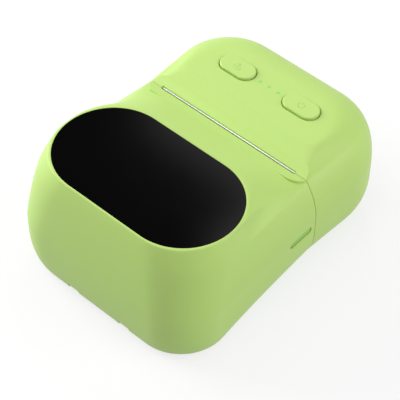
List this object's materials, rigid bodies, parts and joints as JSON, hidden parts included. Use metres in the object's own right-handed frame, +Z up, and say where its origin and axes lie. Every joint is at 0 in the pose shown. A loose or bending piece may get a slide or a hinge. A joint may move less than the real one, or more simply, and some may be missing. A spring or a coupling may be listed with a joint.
{
  "type": "portable thermal printer",
  "caption": "Pocket thermal label printer with a hinged windowed front cover, paper slot, two keys and a roll bay with centring guides.",
  "frame": {"origin": "centre of the body's footprint, on the surface that the feet stand on", "axes": "+Z up, +Y from the cover's hinge towards the keys, +X to the right of someone who faces +Y"},
  "size_m": [0.0774, 0.1033, 0.045],
  "materials": {
    "lime_shell": "fine-grained moulded lime green plastic",
    "lime_button": "smooth matte lime green plastic",
    "green_button": "matte darker green plastic",
    "smoked_window": "polished smoked black plastic",
    "black_plastic": "moulded black plastic",
    "ivory_plastic": "moulded ivory gear plastic",
    "grey_plastic": "moulded grey plastic",
    "clear_green": "clear tinted light guide plastic",
    "lamp_green": "moulded lamp body",
    "plate_steel": "pressed and plated sheet steel",
    "bright_steel": "turned and polished steel",
    "spring_steel": "drawn spring wire",
    "heat_sink_aluminium": "extruded aluminium",
    "head_ceramic": "glazed ceramic head plate",
    "board_green": "green solder mask",
    "chip_black": "moulded chip bodies",
    "battery_wrap": "shrink-wrapped cell",
    "black_rubber": "ground rubber",
    "grey_foam": "closed-cell foam",
    "flex_orange": "polyimide ribbon"
  },
  "bodies": {
    "base": {"base_tray": "lime_shell", "rear_housing": "lime_shell", "print_frame": "plate_steel", "frame_screws": "bright_steel", "tear_bar": "plate_steel", "head_pivot_pin": "bright_steel", "head_springs": "spring_steel", "idler_stud": "bright_steel", "motor_case": "plate_steel", "motor_screws": "bright_steel", "gap_sensor": "black_plastic", "sensor_bracket": "black_plastic", "cover_switch": "black_plastic", "roll_cradle": "black_plastic", "main_board": "board_green", "board_chips": "chip_black", "usb_socket": "plate_steel", "button_board": "board_green", "key_switches": "black_plastic", "indicator_lamps": "lamp_green", "light_guides": "clear_green", "board_screws": "bright_steel", "battery": "battery_wrap", "battery_pad": "grey_foam", "head_connector": "ivory_plastic", "head_flex": "flex_orange", "housing_screws": "bright_steel", "rubber_feet": "black_rubber"},
    "cover": {"front_cover": "lime_shell", "window": "smoked_window", "hinge_pins": "bright_steel", "platen_bracket": "black_plastic", "bracket_screws": "bright_steel", "platen_bushes": "ivory_plastic", "release_spring": "spring_steel"},
    "platen": {"platen_shaft": "bright_steel", "platen_rubber": "black_rubber", "platen_gear": "ivory_plastic", "platen_clip": "bright_steel"},
    "release": {"release_button": "green_button"},
    "print_head": {"head_plate": "head_ceramic", "heat_sink": "heat_sink_aluminium"},
    "idler": {"idler_gear": "ivory_plastic"},
    "motor_rotor": {"motor_shaft": "bright_steel", "motor_pinion": "ivory_plastic"},
    "feed_key": {"feed_button": "lime_button"},
    "power_key": {"power_button": "lime_button"},
    "left_guide": {"guide_left": "grey_plastic"},
    "right_guide": {"guide_right": "grey_plastic"},
    "guide_gear": {"guide_pinion": "ivory_plastic"}
  },
  "joints": [
    {"name": "cover_hinge", "type": "hinge", "parent": "base", "child": "cover", "pos_m": [0, -0.0482, 0.0032], "axis": [1, 0, 0], "range_deg": [0, 85]},
    {"name": "platen_spin", "type": "hinge", "parent": "cover", "child": "platen", "pos_m": [0, 0.0061, 0.0274], "axis": [1, 0, 0], "continuous": true},
    {"name": "idler_spin", "type": "hinge", "parent": "base", "child": "idler", "pos_m": [0, 0.01132, 0.01599], "axis": [1, 0, 0], "continuous": true},
    {"name": "motor_spin", "type": "hinge", "parent": "base", "child": "motor_rotor", "pos_m": [0, 0.02123, 0.01428], "axis": [1, 0, 0], "continuous": true},
    {"name": "head_tilt", "type": "hinge", "parent": "base", "child": "print_head", "pos_m": [0, 0.0124, 0.0184], "axis": [1, 0, 0], "range_deg": [-1.5, 0], "stiffness_Nm_per_rad": 0.5, "springref_deg": 5.73},
    {"name": "feed_press", "type": "slide", "parent": "base", "child": "feed_key", "axis": [0, 0, -1], "range_m": [0, 0.0005], "stiffness_N_per_m": 800, "springref_m": -0.0005},
    {"name": "power_press", "type": "slide", "parent": "base", "child": "power_key", "axis": [0, 0, -1], "range_m": [0, 0.0005], "stiffness_N_per_m": 800, "springref_m": -0.0005},
    {"name": "release_press", "type": "slide", "parent": "cover", "child": "release", "axis": [-1, 0, 0], "range_m": [0, 0.0012], "stiffness_N_per_m": 500, "springref_m": -0.001, "deforming": ["release_spring"]},
    {"name": "guide_left_slide", "type": "slide", "parent": "base", "child": "left_guide", "axis": [1, 0, 0], "range_m": [0, 0.012]},
    {"name": "guide_right_slide", "type": "slide", "parent": "base", "child": "right_guide", "axis": [-1, 0, 0], "range_m": [0, 0.012]},
    {"name": "guide_pinion_spin", "type": "hinge", "parent": "base", "child": "guide_gear", "pos_m": [0, -0.024, 0.0035], "axis": [0, 0, 1], "range_deg": [0, 230]}
  ],
  "couplings": [
    {"joint": "idler_spin", "follows": "platen_spin", "ratio": -0.78571},
    {"joint": "motor_spin", "follows": "platen_spin", "ratio": 1.8333},
    {"joint": "guide_right_slide", "follows": "guide_left_slide", "ratio": 1},
    {"joint": "guide_pinion_spin", "follows": "guide_left_slide", "rad_per_m": 333.33}
  ]
}
